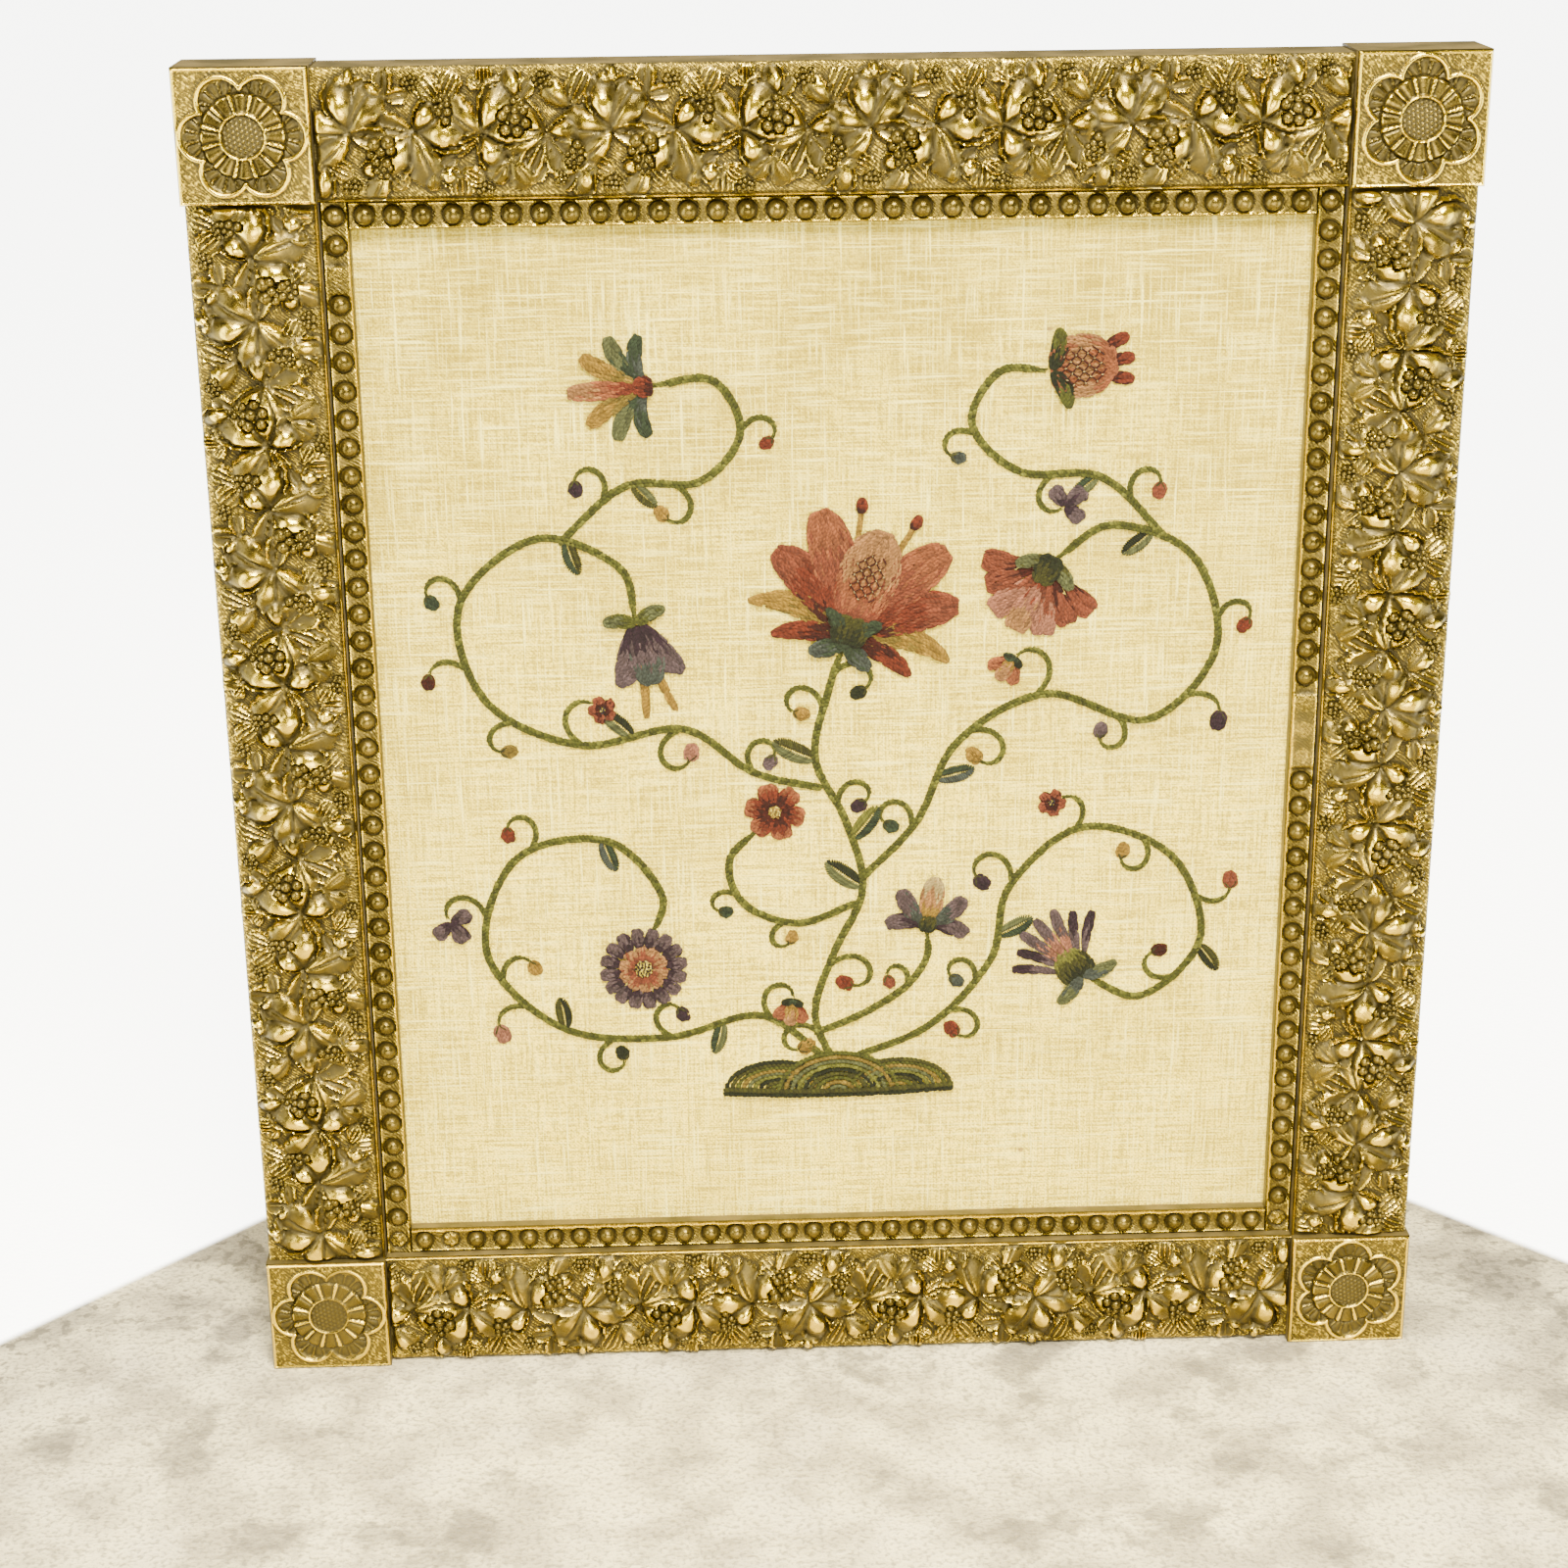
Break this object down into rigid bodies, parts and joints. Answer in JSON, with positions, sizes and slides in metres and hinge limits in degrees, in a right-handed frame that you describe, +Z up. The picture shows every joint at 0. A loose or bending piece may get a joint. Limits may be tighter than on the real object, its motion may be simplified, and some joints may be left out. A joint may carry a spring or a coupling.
{
  "type": "framed crewel embroidery panel",
  "caption": "Upright linen panel worked in crewel stitches, in its deep gilt frame with vine-leaf rails, rosette corner blocks and beaded inner strips.",
  "frame": {"origin": "on the surface it stands on, under the middle of the frame's width and depth", "axes": "+Z up the panel, embroidered face towards -Y, +X to the viewer's right"},
  "size_m": [0.66, 0.042, 0.738],
  "materials": {
    "linen": "aged cream linen, plain weave with slubs",
    "crewel_yarn": "two-ply wool crewel yarn in olive, rose, plum, slate and gold",
    "gilt_band": "moulded composition on wood, antique gilt with toned hollows",
    "gilt_block": "pressed composition on wood, antique gilt, punched ground",
    "gilt_bead": "turned bead moulding, antique gilt"
  },
  "bodies": {
    "root": {"linen_panel": "linen", "rail_top": "gilt_band", "rail_bottom": "gilt_band", "rail_left": "gilt_band", "rail_right": "gilt_band", "block_top_left": "gilt_block", "block_top_right": "gilt_block", "block_bottom_left": "gilt_block", "block_bottom_right": "gilt_block", "bead_strip_top": "gilt_bead", "bead_strip_bottom": "gilt_bead", "bead_strip_left": "gilt_bead", "bead_strip_right": "gilt_bead"}
  },
  "joints": []
}
